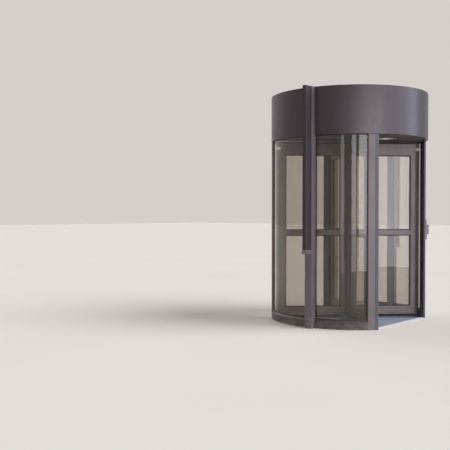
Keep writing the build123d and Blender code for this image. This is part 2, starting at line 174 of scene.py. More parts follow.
# %% Boxes in front of the door
def soft_box(name, angle, distance, bottom, top, width, glare, colour):
    """A lamp that faces the door and only shows in what mirrors it."""
    height = (bottom + top) / 2
    tall = top - bottom
    place = outwards(angle, distance, height)
    bpy.ops.object.light_add(type="AREA", location=place)
    lamp = bpy.context.object
    lamp.name = name
    lamp.rotation_euler = (Vector((0, 0, height)) - place).to_track_quat("-Z", "Y").to_euler()
    lamp.data.shape = "RECTANGLE"
    lamp.data.size = width
    lamp.data.size_y = tall
    lamp.data.energy = glare * pi * width * tall
    lamp.data.color = colour
    lamp.visible_camera = lamp.visible_diffuse = lamp.visible_transmission = False
    print("box", name)


CANOPY_BOX = {"distance": 7.0, "bottom": 0.8, "top": 5.6}
GLASS_BOX_DISTANCE = 8.5
GLASS_BOX_COLOUR = (0.98, 0.98, 1.0)
BOX_SPLIT, BOX_TOP = 0.82, 3.72
LOW_SHARE = 0.6
# Each box has a name, an angle, a width and a glare.
GLASS_BOXES = (("wide", -28.0, 4.9, 5.4), ("slim", -51.0, 0.9, 3.8), ("thin", -66.7, 0.7, 2.0))
# Each part of a box has a name, a bottom, a top and its share of the glare.
BOX_PARTS = (("glass", BOX_SPLIT, BOX_TOP, 1.0), ("low", 0.0, BOX_SPLIT, LOW_SHARE))

soft_box("canopy_box", angle=15, width=9.0, glare=2.2, colour=(0.88, 0.88, 1.0), **CANOPY_BOX)
soft_box("highlight_box", angle=39, width=1.9, glare=2.6, colour=(0.46, 0.72, 1.0), **CANOPY_BOX)
for name, angle, width, glare in GLASS_BOXES:
    for part, bottom, top, share in BOX_PARTS:
        soft_box(
            f"{name}_{part}_box",
            angle=angle,
            distance=GLASS_BOX_DISTANCE,
            bottom=bottom,
            top=top,
            width=width,
            glare=glare * share,
            colour=GLASS_BOX_COLOUR,
        )

# %% [markdown]
# ## A short way to add nodes
#
# The sky and every finish are made of shader nodes. Adding and linking each by hand takes three lines a
# node, so a small helper does it: it adds a node, sets it and feeds its sockets in their order, and a value
# that is itself a socket is linked.


# %% Helper for node trees
class Nodes:
    """Short ways to add nodes to a tree and to link them."""

    def __init__(self, tree):
        self.tree = tree

    def feed(self, socket, value):
        """Links a socket, or sets its plain value."""
        if isinstance(value, bpy.types.NodeSocket):
            self.tree.links.new(value, socket)
        else:
            socket.default_value = value

    def add(self, kind, *values, **settings):
        """Adds a node, sets it and feeds its sockets in order, None leaving one as it is."""
        node = self.tree.nodes.new(kind)
        for key, value in settings.items():
            setattr(node, key, value)
        for socket, value in zip(node.inputs, values):
            if value is not None:
                self.feed(socket, value)
        return node

    def maths(self, operation, *values):
        """A Math node's result."""
        return self.add("ShaderNodeMath", *values, operation=operation).outputs[0]


print("node helper ready")

# %% [markdown]
# ## The sky
#
# The sky is plain. It lights the door gently, and it looks pale to the camera and to the rays that metal and
# glass send out. A brighter sky would make the background pale as well, but it would wash out the door, so
# Light Path picks a second background for the rays that only look.

# %% Plain sky
SKY_COLOUR = (0.665, 0.625, 0.600, 1.0)
SKY_LEVEL = 0.34
world = bpy.data.worlds.new("plain_sky")
scene.world = world
world.use_nodes = True
world.node_tree.nodes.clear()
sky = Nodes(world.node_tree)
rays = sky.add("ShaderNodeLightPath").outputs
seen = sky.maths("MAXIMUM", rays["Is Camera Ray"], rays["Is Glossy Ray"])
seen_or_sent = sky.maths("MAXIMUM", seen, rays["Is Transmission Ray"])
dim = sky.add("ShaderNodeBackground", None, SKY_LEVEL)
pale = sky.add("ShaderNodeBackground", SKY_COLOUR)
choice = sky.add("ShaderNodeMixShader", seen_or_sent, dim.outputs[0], pale.outputs[0])
sky.add("ShaderNodeOutputWorld", choice.outputs[0])
scene.view_settings.view_transform = "Standard"
print("sky level", SKY_LEVEL)

# %% [markdown]
# ## Patterns for finishes
#
# Every finish on this door is a base colour with a little life in it: slow patches, fine grain, dust near
# the floor and a paler line where hands and shoes rub the edges. The same few nodes make all of these. They
# read Object coordinates, which are the door's own metres, so a streak keeps its size on every part. Noise
# crowds round its middle, mostly between 0.3 and 0.7, so each pattern spreads the part of it that it needs.


# %% Helper for patterns
class Patterns(Nodes):
    """Patterns in the door's own metres."""

    # A Mix node has sockets for every kind of value, and these are its sockets for colours.
    COLOUR_A, COLOUR_B, COLOUR_OUT = 6, 7, 2
    BEVEL_SAMPLES = 4
    # How well the rounded normal agrees with the face's own, on a face and at a sharp edge.
    ON_A_FACE, ON_AN_EDGE = 0.995, 0.86

    def __init__(self, tree):
        super().__init__(tree)
        self.place = self.add("ShaderNodeTexCoord").outputs["Object"]

    def stretched(self, scale):
        """Object coordinates, scaled by axis."""
        node = self.add("ShaderNodeMapping")
        self.feed(node.inputs["Vector"], self.place)
        node.inputs["Scale"].default_value = scale
        return node.outputs[0]

    def noise(self, scale, detail=3.0, where=None):
        """Soft noise: the scale is how many patches go into a metre."""
        node = self.add("ShaderNodeTexNoise")
        self.feed(node.inputs["Vector"], where or self.place)
        node.inputs["Scale"].default_value = scale
        node.inputs["Detail"].default_value = detail
        return node.outputs["Fac"]

    def spread(self, value, low, high, start=0.0, end=1.0):
        """Maps a value from low..high to start..end and keeps it there."""
        return self.add("ShaderNodeMapRange", value, low, high, start, end).outputs[0]

    def blend(self, share, first, second):
        """A mix of two colours."""
        node = self.add("ShaderNodeMix", data_type="RGBA")
        self.feed(node.inputs["Factor"], share)
        self.feed(node.inputs[self.COLOUR_A], first)
        self.feed(node.inputs[self.COLOUR_B], second)
        return node.outputs[self.COLOUR_OUT]

    def height(self):
        """How high above the floor a point lies."""
        return self.add("ShaderNodeSeparateXYZ", self.place).outputs["Z"]

    def reach(self):
        """How far from the shaft's axis a point lies."""
        flat = self.add("ShaderNodeVectorMath", self.place, (1.0, 1.0, 0.0), operation="MULTIPLY")
        return self.add("ShaderNodeVectorMath", flat.outputs[0], operation="LENGTH").outputs["Value"]

    def rounded(self, radius):
        """The normal as if edges were rounded to a radius."""
        bevel = self.add("ShaderNodeBevel", samples=self.BEVEL_SAMPLES)
        bevel.inputs["Radius"].default_value = radius
        return bevel.outputs[0]

    def worn_edges(self, radius):
        """1 along sharp edges, fading to 0 on the faces beside them."""
        flat = self.add("ShaderNodeNewGeometry").outputs["Normal"]
        dot = self.add("ShaderNodeVectorMath", self.rounded(radius), flat, operation="DOT_PRODUCT")
        return self.spread(dot.outputs["Value"], self.ON_A_FACE, self.ON_AN_EDGE)


print("pattern helper ready")


# %% [markdown]
# ## A finish and its colours
#
# A finish is a new material with its one main shader. Colours are picked as they look on a screen, from 0
# to 255, but a shader counts light, so they are turned into its units first. A number that is the same all
# over goes straight onto the shader's own socket, and only what varies is linked.


# %% Helper for finishes
def linear(red, green, blue):
    """A colour that is given as it looks on a screen, from 0 to 255, in the units that shaders use."""
    return tuple(((c / 255 + 0.055) / 1.055) ** 2.4 for c in (red, green, blue)) + (1.0,)


def shade(colour, factor):
    """A darker or paler version of a colour."""
    return tuple(min(1.0, c * factor) for c in colour[:3]) + (1.0,)


class Finish(Patterns):
    """A new material with one main shader and patterns in front of it.

    The shader's other sockets are given by name, with an underscore for each space.
    """

    def __init__(self, name, colour, roughness, **sockets):
        self.material = bpy.data.materials.new(name)
        self.material.use_nodes = True
        super().__init__(self.material.node_tree)
        self.shader = self.tree.nodes["Principled BSDF"]
        self.set("Base Color", colour)
        self.set("Roughness", roughness)
        for socket, value in sockets.items():
            self.set(socket.replace("_", " "), value)

    def set(self, socket, value):
        """Sets or links a socket of the main shader."""
        self.feed(self.shader.inputs[socket], value)

    def bump(self, height, distance, strength=1.0, soft_edge=0.0):
        """Makes the surface look raised by a pattern, with its edges softened to a radius."""
        node = self.add("ShaderNodeBump")
        node.inputs["Strength"].default_value = strength
        node.inputs["Distance"].default_value = distance
        self.feed(node.inputs["Height"], height)
        if soft_edge:
            self.feed(node.inputs["Normal"], self.rounded(soft_edge))
        self.set("Normal", node.outputs[0])


DUST = linear(150, 143, 139)
# Painted shade: the near black that is painted on the faces inside the drum.
PAINTED_SHADE_BLACK = linear(26, 22, 24)
print("screen grey 128 is", round(linear(128, 128, 128)[0], 3), "in light")

# %% [markdown]
# ## Bronze anodised metal
#
# Posts, rails, stiles and the canopy are aluminium with a dark bronze anodised skin. It looks satin: the
# die leaves faint lines along each profile, hands leave dull patches, and the lowest part is scuffed and
# dusty. One function makes all the bronzes from a tone, because they differ only in colour, shine and
# the direction of the lines. The faces of the posts that the wings' brushes run along look into the dark
# drum, and they are painted near black as painted shade. It could be a material of its own, but a solid
# has one slot, so the painted shade is told from the rest by its distance from the shaft.

# %% Bronze
LENGTHWISE = (90.0, 90.0, 0.6)
ROUNDABOUT = (0.9, 0.9, 120.0)
RUBBED = linear(168, 158, 156)


def bronze(
    name,
    tone,
    roughness,
    metal,
    dusty=DUST,
    worn=RUBBED,
    lines=LENGTHWISE,
    dust_height=0.22,
    patchy=0.12,
    painted_shade_within=0.0,
):
    """Anodised metal: its tone, drawn lines, the dust near the floor, the tone of rubbed edges, and painted
    shade within a radius.
    """
    finish = Finish(name, tone, roughness, Metallic=metal)
    patches = finish.noise(scale=2.3)
    cloud = finish.noise(scale=14.0, detail=4.0)
    drawn = finish.noise(scale=1.0, where=finish.stretched(lines))
    pale_tone = shade(tone, 1 + patchy)
    colour = finish.blend(finish.spread(patches, 0.38, 0.66), shade(tone, 1 - patchy), pale_tone)
    colour = finish.blend(finish.spread(drawn, 0.45, 0.75, 0.0, 0.35), colour, pale_tone)
    # Painted shade: faces nearer the shaft than the given radius are painted near black.
    if painted_shade_within:
        painted_shade_share = finish.spread(finish.reach(), painted_shade_within, painted_shade_within - 0.001)
        colour = finish.blend(painted_shade_share, colour, PAINTED_SHADE_BLACK)
    low = finish.spread(finish.height(), dust_height, 0.0)
    dust = finish.maths("MULTIPLY", low, finish.spread(cloud, 0.36, 0.66, 0.1, 0.7))
    colour = finish.blend(dust, colour, dusty)
    edges = finish.worn_edges(radius=0.0016)
    rub = finish.maths("MULTIPLY", edges, finish.spread(cloud, 0.40, 0.62, 0.1, 0.6))
    finish.set("Base Color", finish.blend(rub, colour, worn))
    rough = finish.spread(cloud, 0.3, 0.72, roughness - 0.04, roughness + 0.06)
    finish.set("Roughness", finish.maths("ADD", rough, finish.maths("MULTIPLY", dust, 0.2)))
    finish.bump(drawn, distance=0.00012, strength=0.4, soft_edge=0.0014)
    print("finish", name)
    return finish.material


# %% [markdown]
# Each profile now gets its own tone from that function. The wings are the palest, and the canopy is the
# darkest and smoothest. Its lines are broad, because it is bent sheet and not a drawn profile. The painted
# filler panels and the iron of the hangers wear and gather dust in the same way, so the same function
# serves them with other tones.

# %% The door's bronzes, paint and iron
# The posts' faces nearer the shaft than this get the painted shade.
POST_PAINTED_SHADE = POST_INNER + 0.001
post_bronze = bronze("post_bronze", linear(117, 105, 111), 0.52, 0.1, painted_shade_within=POST_PAINTED_SHADE)
wing_bronze = bronze("wing_bronze", linear(130, 115, 117), 0.50, 0.1)
rail_bronze = bronze("base_rail_bronze", linear(80, 70, 70), 0.42, 0.25, lines=ROUNDABOUT, dust_height=0.10)
jamb_bronze = bronze("jamb_bronze", linear(107, 98, 105), 0.48, 0.2)
canopy_bronze = bronze("canopy_bronze", linear(64, 56, 62), 0.34, 0.35, lines=(5.0, 5.0, 0.5), patchy=0.05)
filler_paint = bronze("filler_paint", linear(38, 30, 37), 0.55, 0.0, worn=linear(96, 88, 92))
hanger_iron = bronze(
    "hanger_iron", linear(70, 66, 66), 0.5, 0.6, dusty=linear(110, 100, 92), worn=linear(150, 148, 146)
)
sill_metal = bronze(
    "sill_metal", linear(120, 114, 116), 0.42, 0.4, worn=linear(190, 186, 186), lines=(0.9, 60.0, 60.0)
)

# %% [markdown]
# ## Rubber, brushes and plastics
#
# The safety edges are hollow grey rubber: matt and a little mottled, and the side that the brushes run
# along is painted near black as painted shade, as on the posts. The brushes are near black with a blue
# cast, and their carriers are blue-grey plastic. The reader's housing is pale moulded plastic with a fine
# even grain. All are moulded or drawn and have no metal in them, so one function makes them, and only
# tone, grain and shine tell them apart.


# %% Rubber
def rubber(name, tone, roughness, grain, grain_depth, lines=(1.0, 1.0, 1.0), sheen=0.0, painted_shade_within=0.0):
    """A matt moulded finish with a fine grain and a slightly dusty bloom."""
    finish = Finish(name, tone, roughness, Sheen_Weight=sheen)
    bloom = finish.noise(scale=9.0, detail=4.0)
    fine = finish.noise(scale=grain, detail=2.0, where=finish.stretched(lines))
    colour = finish.blend(finish.spread(bloom, 0.35, 0.7), shade(tone, 0.82), shade(tone, 1.25))
    colour = finish.blend(finish.spread(fine, 0.4, 0.7, 0.0, 0.4), colour, shade(tone, 0.8))
    # Painted shade: rubber nearer the shaft than the given radius is painted near black, fading over 2 mm
    # across the round nose.
    if painted_shade_within:
        painted_shade_share = finish.spread(finish.reach(), painted_shade_within, painted_shade_within - 0.002)
        colour = finish.blend(painted_shade_share, colour, PAINTED_SHADE_BLACK)
    low = finish.spread(finish.height(), 0.16, 0.0, 0.0, 0.4)
    colour = finish.blend(finish.maths("MULTIPLY", low, bloom), colour, DUST)
    finish.set("Base Color", colour)
    finish.set("Roughness", finish.spread(bloom, 0.3, 0.7, roughness - 0.06, roughness + 0.08))
    finish.bump(fine, distance=grain_depth, strength=0.6, soft_edge=0.001)
    print("finish", name)
    return finish.material


# %% [markdown]
# The grain is coarser on soft rubber and finer on the hard housing. The carriers are drawn, so their grain
# is stretched along them. The window is nearly smooth, so it shines.

# %% The door's rubbers and plastics
# The safety edges' faces nearer the shaft than this get the painted shade.
EDGE_PAINTED_SHADE = GLASS_INNER + 0.004
edge_rubber = rubber("edge_rubber", linear(91, 88, 97), 0.56, 500.0, 0.0001, painted_shade_within=EDGE_PAINTED_SHADE)
gasket_rubber = rubber("gasket_rubber", linear(34, 31, 33), 0.5, 400.0, 0.0001)
carrier_plastic = rubber("carrier_plastic", linear(72, 70, 84), 0.45, 1.0, 0.0001, lines=(300.0, 300.0, 4.0))
brush_fibre = rubber("brush_fibre", linear(22, 21, 26), 0.85, 900.0, 0.0004, sheen=0.3)
reader_plastic = rubber("reader_plastic", linear(150, 148, 157), 0.42, 900.0, 0.00008)
reader_window = rubber("reader_window", linear(30, 29, 34), 0.12, 900.0, 0.00001)

# %% [markdown]
# ## Glass
#
# The curved walls are 10 mm laminated glass with a grey-brown tint and the wing panes are 6 mm and nearly
# clear. Clear glass in a render needs a shader that bends and mirrors light. It also stops lamps, which
# would leave the drum black inside, so for the rays that look for a lamp the glass counts as a thin tinted
# film. Faint smears and slow waves keep its reflections from being perfect.


# %% Clear panes
def pane(name, tint, film, wave):
    """Clear glass with its tint, faint smears, slow waves, and a film that lets lamps through."""
    finish = Finish(name, tint, 0.0, IOR=1.5, Transmission_Weight=1.0)
    smear = finish.noise(scale=1.0, detail=4.0, where=finish.stretched((3.0, 3.0, 0.7)))
    finish.set("Roughness", finish.spread(smear, 0.55, 0.8, 0.0, 0.01))
    finish.bump(finish.noise(scale=1.0, detail=0.0, where=finish.stretched((2.2, 2.2, 0.8))), distance=wave)
    for_a_lamp = finish.add("ShaderNodeLightPath").outputs["Is Shadow Ray"]
    clear = finish.add("ShaderNodeBsdfTransparent", film)
    mix = finish.add("ShaderNodeMixShader", for_a_lamp, finish.shader.outputs[0], clear.outputs[0])
    finish.feed(finish.tree.nodes["Material Output"].inputs["Surface"], mix.outputs[0])
    print("finish", name)
    return finish.material


wall_glass = pane("wall_glass", tint=(0.47, 0.43, 0.37, 1.0), film=(0.72, 0.69, 0.65, 1.0), wave=0.002)
wing_glass = pane("wing_glass", tint=(0.95, 0.95, 0.94, 1.0), film=(0.97, 0.97, 0.96, 1.0), wave=0.0008)

# %% [markdown]
# ## The mat's pile
#
# The mat is a blue-grey pile with paler flecks and with darker tracks where people walk. The ribs are
# shapes of their own, made further down. The tufts between are too small for that, so they are a bump of
# fine noise, and a little sheen lightens the pile at its edge as loose fibres do.

# %% Pile
TUFT_SCALE, FLECK_SCALE, TRACK_SCALE = 420.0, 150.0, 2.6
pile = Finish("mat_pile", linear(132, 140, 165), 0.95, Sheen_Weight=0.25)
tuft = pile.noise(scale=TUFT_SCALE, detail=2.0)
fleck = pile.noise(scale=FLECK_SCALE)
track = pile.noise(scale=TRACK_SCALE)
pile_colour = pile.blend(pile.spread(tuft, 0.38, 0.66), linear(104, 113, 138), linear(158, 168, 195))
pile_colour = pile.blend(pile.spread(fleck, 0.55, 0.7, 0.0, 0.5), pile_colour, linear(172, 176, 190))
pile_colour = pile.blend(pile.spread(track, 0.45, 0.75, 0.0, 0.35), pile_colour, linear(94, 95, 106))
pile.set("Base Color", pile_colour)
pile.bump(tuft, distance=0.0015, strength=0.9)
mat_pile = pile.material
print("finish", mat_pile.name)

# %% [markdown]
# ## Bare metal
#
# The threshold is brushed aluminium with scratches along it, the shaft is turned steel, and the lamps have
# a fine satin trim. Anisotropy could stretch their highlights, but the lines are wide enough here to be
# drawn: noise is stretched along them, and it drives both the colour and the bump.


# %% Brushed metal
def brushed(name, tone, lines, roughness=0.34, metal=0.7):
    """Bare metal with lines in one direction and worn, duller places."""
    finish = Finish(name, tone, roughness, Metallic=metal)
    brushing = finish.noise(scale=1.0, detail=4.0, where=finish.stretched(lines))
    wear = finish.noise(scale=11.0, detail=4.0)
    colour = finish.blend(finish.spread(brushing, 0.35, 0.68), shade(tone, 0.78), tone)
    colour = finish.blend(finish.spread(wear, 0.52, 0.75, 0.0, 0.4), colour, shade(tone, 0.72))
    finish.set("Base Color", colour)
    finish.set("Roughness", finish.spread(wear, 0.3, 0.7, roughness - 0.06, roughness + 0.12))
    finish.bump(brushing, distance=0.0003, strength=0.5, soft_edge=0.001)
    print("finish", name)
    return finish.material


threshold_metal = brushed("threshold_metal", linear(246, 247, 251), (2.0, 260.0, 260.0), 0.42, 0.1)
shaft_steel = brushed("shaft_steel", linear(140, 136, 138), (260.0, 260.0, 3.0))
trim_metal = brushed("lamp_trim", linear(176, 173, 172), (120.0, 120.0, 120.0), 0.32)

# %% [markdown]
# ## Paint
#
# The ceiling is dark satin paint, and the roof sheet is dull paint with a film of dust, because rain and
# dirt reach it. Sprayed paint has a very fine skin like an orange's peel, which is bump, and the dust lies
# in clouds that a finer noise breaks up.


# %% Satin and dusty paint
def paint(name, tone, roughness, dust_share):
    """Sprayed paint with faint clouds and a share of dust."""
    finish = Finish(name, tone, roughness)
    peel = finish.noise(scale=320.0, detail=2.0)
    cloud = finish.noise(scale=1.7, detail=6.0)
    spot = finish.noise(scale=9.0, detail=5.0)
    colour = finish.blend(finish.spread(cloud, 0.36, 0.66), shade(tone, 0.85), shade(tone, 1.08))
    dust = finish.maths("MULTIPLY", finish.spread(cloud, 0.35, 0.75), finish.spread(spot, 0.3, 0.7, 0.3, 1.0))
    colour = finish.blend(finish.maths("MULTIPLY", dust, dust_share), colour, linear(160, 152, 144))
    finish.set("Base Color", colour)
    finish.set("Roughness", finish.spread(spot, 0.3, 0.7, roughness - 0.08, roughness + 0.1))
    finish.bump(peel, distance=0.0001, strength=0.4, soft_edge=0.001)
    print("finish", name)
    return finish.material


ceiling_paint = paint("ceiling_paint", linear(64, 56, 56), roughness=0.45, dust_share=0.1)
roof_paint = paint("roof_paint", linear(100, 94, 96), roughness=0.6, dust_share=0.3)

# %% [markdown]
# ## Opal plastic
#
# The lamps have lenses of opal plastic. In daylight they look switched off, but a little light still comes
# through. A lamp inside each could give that. A faint glow on the plastic itself costs less and is as even.

# %% Opal
OPAL_TONE = linear(222, 218, 214)
OPAL_GLOW = 0.22
opal = Finish("opal_plastic", OPAL_TONE, 0.4, Emission_Color=OPAL_TONE, Emission_Strength=OPAL_GLOW)
opal_cloud = opal.spread(opal.noise(scale=30.0), 0.35, 0.7)
opal.set("Base Color", opal.blend(opal_cloud, shade(OPAL_TONE, 0.88), OPAL_TONE))
opal.bump(opal.noise(scale=240.0, detail=2.0), distance=0.0002, strength=0.5)
opal_plastic = opal.material
print("finish", opal_plastic.name)

# %% [markdown]
# ## Give the measured parts their finishes
#
# Each solid came in with a plain material in its one slot. The slot is given the finish that belongs to the
# part, and the mesh stays as it is.

# %% Finish every node
QUARTERS = {
    "front_left": (-1, -1),
    "front_right": (1, -1),
    "rear_left": (-1, 1),
    "rear_right": (1, 1),
}
finishes = {
    "safety_edges": edge_rubber,
    "filler_sills": sill_metal,
    "ceiling": ceiling_paint,
    "ceiling_lights": trim_metal,
    "canopy_roof": roof_paint,
    "canopy_beams": hanger_iron,
    "upper_bearing": hanger_iron,
    "floor_bearing": shaft_steel,
    "floor_mat": mat_pile,
    "thresholds": threshold_metal,
    "entry_reader": reader_plastic,
    "centre_shaft": shaft_steel,
    "upper_hanger": hanger_iron,
    "lower_hanger": hanger_iron,
    "front_fascia": canopy_bronze,
    "rear_fascia": canopy_bronze,
}
for quarter in QUARTERS:
    finishes[f"{quarter}_post"] = post_bronze
    finishes[f"{quarter}_glass"] = wall_glass
for side in ("left", "right"):
    finishes[f"{side}_base_rails"] = rail_bronze
    finishes[f"{side}_wall_jamb"] = jamb_bronze
    finishes[f"{side}_filler_panel"] = filler_paint
for number in range(1, WINGS + 1):
    finishes[f"wing_{number}_stiles"] = wing_bronze
    finishes[f"wing_{number}_rails"] = wing_bronze
    finishes[f"wing_{number}_glass"] = wing_glass
    finishes[f"wing_{number}_sweeps"] = brush_fibre
for name, node in nodes.items():
    node.material_slots[0].material = finishes[name]
print("finished", len(finishes), "nodes")

# %% [markdown]
# ## Helpers for modelling by hand
#
# The new pieces are modelled with the same operators as by hand: add a primitive, go to edit mode, pick
# faces by where they lie, inset or extrude them, and leave. An operator acts on all that is selected, so
# each helper selects its own piece first. A finished piece has its place in its mesh, because its finish
# reads the door's own metres.


# %% Start a piece
def select_only(piece):
    """Makes a piece the only selected one, and the active one."""
    bpy.ops.object.select_all(action="DESELECT")
    piece.select_set(True)
    bpy.context.view_layer.objects.active = piece


def settle(piece):
    """Puts a piece's place, turn and size into its mesh."""
    select_only(piece)
    bpy.ops.object.transform_apply(location=True, rotation=True, scale=True)


def new_piece(name, primitive, scale=(1.0, 1.0, 1.0), **where):
    """Adds a primitive, names it and puts its size and place into its mesh."""
    bpy.ops.object.select_all(action="DESELECT")
    primitive(**where)
    piece = bpy.context.object
    piece.name = piece.data.name = name
    piece.scale = scale
    settle(piece)
    return piece


print("starting helpers ready")

# %% [markdown]
# In edit mode a person clicks on faces. A script picks them by a test on each face's middle and normal
# instead, which still holds when a size changes. A face counts as facing a direction when its normal points
# almost that way.

# %% Shape and close a piece
FACING = 0.9
MERGE = 0.00001


def edit(piece):
    """Goes to edit mode with everything selected."""
    select_only(piece)
    bpy.ops.object.mode_set(mode="EDIT")
    bpy.ops.mesh.select_mode(type="FACE")
    bpy.ops.mesh.select_all(action="SELECT")


def pick(test):
    """Selects the faces whose centre and normal pass a test, in edit mode."""
    mesh = bmesh.from_edit_mesh(bpy.context.object.data)
    for face in mesh.faces:
        face.select_set(bool(test(face.calc_center_median(), face.normal)))
    mesh.select_flush_mode()
    bmesh.update_edit_mesh(bpy.context.object.data)


def extrude(*step):
    """Pulls the picked faces out by a step."""
    bpy.ops.mesh.extrude_region_move(TRANSFORM_OT_translate={"value": step})


def leave():
    """Closes a piece up, turns its faces outwards and goes back to object mode."""
    bpy.ops.mesh.select_all(action="SELECT")
    bpy.ops.mesh.remove_doubles(threshold=MERGE)
    bpy.ops.mesh.normals_make_consistent(inside=False)
    bpy.ops.object.mode_set(mode="OBJECT")


print("shaping helpers ready")

# %% [markdown]
# No real edge is perfectly sharp, and the light that a rounded edge catches is what makes a piece look
# solid. The Bevel modifier rounds every edge that is sharper than an angle, and applying it leaves a plain
# mesh. What repeats is modelled once, and each copy gets a mesh of its own, so that it can be turned to its
# place.

# %% Soften, join and copy pieces
SHARP_ANGLE = 40.0


def apply_modifier(piece, kind, **settings):
    """Adds a modifier, sets it and applies it."""
    modifier = piece.modifiers.new(kind.lower(), kind)
    for key, value in settings.items():
        setattr(modifier, key, value)
    select_only(piece)
    bpy.ops.object.modifier_apply(modifier=modifier.name)


def soften(piece, width, segments=2):
    """Rounds the sharp edges of a piece."""
    sharp = radians(SHARP_ANGLE)
    apply_modifier(piece, "BEVEL", width=width, segments=segments, limit_method="ANGLE", angle_limit=sharp)


def joined(name, parts):
    """Makes one piece of several."""
    select_only(parts[0])
    for part in parts:
        part.select_set(True)
    bpy.ops.object.join()
    piece = bpy.context.object
    piece.name = piece.data.name = name
    return piece


def copy_of(piece, name, turn):
    """A copy with its own mesh, turned about the shaft."""
    copy = piece.copy()
    copy.data = piece.data.copy()
    copy.name = copy.data.name = name
    scene.collection.objects.link(copy)
    copy.data.transform(Matrix.Rotation(radians(turn), 4, "Z"))
    return copy


print("joining helpers ready")


# %% [markdown]
# A finished piece gets its material and the body that it moves with. A piece that is a better version of a
# solid hides the solids that it stands for.


# %% Fit a finished piece to the door
def fit(piece, body, finish, stands_for=()):
    """Gives a finished piece its material and the body that it moves with."""
    settle(piece)
    piece.data.materials.clear()
    piece.data.materials.append(finish)
    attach(piece, body)
    if stands_for:
        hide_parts(*stands_for)
    print("fitted", piece.name, "faces", len(piece.data.polygons))


def fit_to_wings(pattern, part, finish, stands_for=()):
    """Turns a copy of a wing's piece to each wing, and takes the pattern away."""
    for number in range(1, WINGS + 1):
        wing = f"wing_{number}"
        turn = REST_ANGLE - 90.0 + (number - 1) * 360.0 / WINGS
        piece = copy_of(pattern, f"{wing}_{part}", turn)
        fit(piece, wing, finish, [f"{wing}_{replaced}" for replaced in stands_for])
    bpy.data.objects.remove(pattern)


print("fitting helpers ready")

# %% [markdown]
# ## Gaskets of the wing panes
#
# A black rubber gasket closes the joint between glass and frame all round both faces of each pane. It could
# be four strips with mitred ends. A thin frame is simpler and has no joints: a plane of the opening's size
# is inset by the gasket's width, its middle face is deleted, and what is left is extruded to the gasket's
# depth. One wing's set is modelled along +X and then turned. The panes stand in grooves of the frame, so
# each opening is smaller than its pane.

# %% Wing gaskets
PANE_GROOVE = 0.008
PANE_HALF = 0.003
GASKET_WIDTH = 0.012
GASKET_DEPTH = 0.008
GASKET_ROUND = 0.0018
RAIL_START, RAIL_END = span("wing_1_rails", along_wing)
pane_edges = levels("wing_1_glass")
pane_gaskets = []
for pane_bottom, pane_top in zip(pane_edges[::2], pane_edges[1::2]):
    low, high = pane_bottom + PANE_GROOVE, pane_top - PANE_GROOVE
    for face in (-1, 1):
        gasket = new_piece(
            "pane_gasket",
            bpy.ops.mesh.primitive_plane_add,
            scale=(RAIL_END - RAIL_START, high - low, 1.0),
            size=1.0,
            location=((RAIL_START + RAIL_END) / 2, face * PANE_HALF, (low + high) / 2),
            rotation=(face * -radians(90), 0, 0),
        )
        edit(gasket)
        bpy.ops.mesh.inset(thickness=GASKET_WIDTH, depth=0.0)
        bpy.ops.mesh.delete(type="FACE")
        bpy.ops.mesh.select_all(action="SELECT")
        extrude(0, face * GASKET_DEPTH, 0)
        leave()
        soften(gasket, GASKET_ROUND)
        pane_gaskets.append(gasket)
print("openings", round(RAIL_END - RAIL_START, 4), "m wide, pane edges at", pane_edges)
fit_to_wings(joined("wing_gaskets", pane_gaskets), "gaskets", gasket_rubber)

# %% [markdown]
# ## Glazing beads of the curved walls
#
# The curved panes are held by thin rubber beads: an arc along the base rail, an arc under the canopy and
# an upright strip at the post and at the jamb, on both faces of the glass. Each could be bent along a
# curve, but they are all the same thing: a small upright rectangle that is spun about the shaft, far for an
# arc and only a few millimetres for an upright. The spin operator turns clockwise for a positive angle, so
# the angle is given from end to start. The beads run a little way into the jamb, because their ends are cut
# square and its face is not.

# %% One strip of bead
BEAD_WIDTH = 0.009
BEAD_DEPTH = 0.003
BEAD_ROUND = 0.0008
SPIN_STEP = 1.5


def strip(inner, outer, bottom, top, start, end):
    """A strip with an upright section, spun between two angles."""
    piece = new_piece(
        "strip",
        bpy.ops.mesh.primitive_plane_add,
        scale=(outer - inner, top - bottom, 1.0),
        size=1.0,
        location=outwards(start, (inner + outer) / 2, (bottom + top) / 2),
        rotation=(radians(90), 0, radians(start - 90)),
    )
    edit(piece)
    steps = max(1, round(abs(end - start) / SPIN_STEP))
    bpy.ops.mesh.spin(steps=steps, angle=radians(start - end), center=(0, 0, 0), axis=(0, 0, 1))
    leave()
    soften(piece, BEAD_ROUND)
    return piece


print("an arc takes a step every", SPIN_STEP, "degrees")

# %% [markdown]
# The four curved panes are mirror images of each other. Mirroring one pane's beads could turn them inside
# out, so each pane gets its own: the signs of its side and end turn the same angles to its quarter of the
# circle.

# %% Beads on both faces of each curved pane
POST_END_ANGLE = 45.177
BASE_RAIL_TOP = span("left_base_rails", height_of)[1]
CANOPY_BOTTOM = span("front_fascia", height_of)[0]
JAMB_FRONT, JAMB_BACK = span("left_wall_jamb", depth_of)


def face_beads(inner, outer, side, end):
    """The four beads on one face of a pane: side is -1 at the left, end is -1 towards the street."""
    towards_jamb = -end
    first = POST_END_ANGLE if end < 0 else 180.0 - POST_END_ANGLE
    jamb_face = JAMB_FRONT if end < 0 else JAMB_BACK
    last = degrees(acos(-jamb_face / outer)) + towards_jamb * degrees(BEAD_DEPTH / outer)
    upright = towards_jamb * degrees(BEAD_WIDTH / outer)
    low, high = BASE_RAIL_TOP + BEAD_WIDTH, CANOPY_BOTTOM - BEAD_WIDTH
    return [
        strip(inner, outer, BASE_RAIL_TOP, low, side * first, side * last),
        strip(inner, outer, high, CANOPY_BOTTOM, side * first, side * last),
        strip(inner, outer, low, high, side * first, side * (first + upright)),
        strip(inner, outer, low, high, side * (last - upright), side * last),
    ]


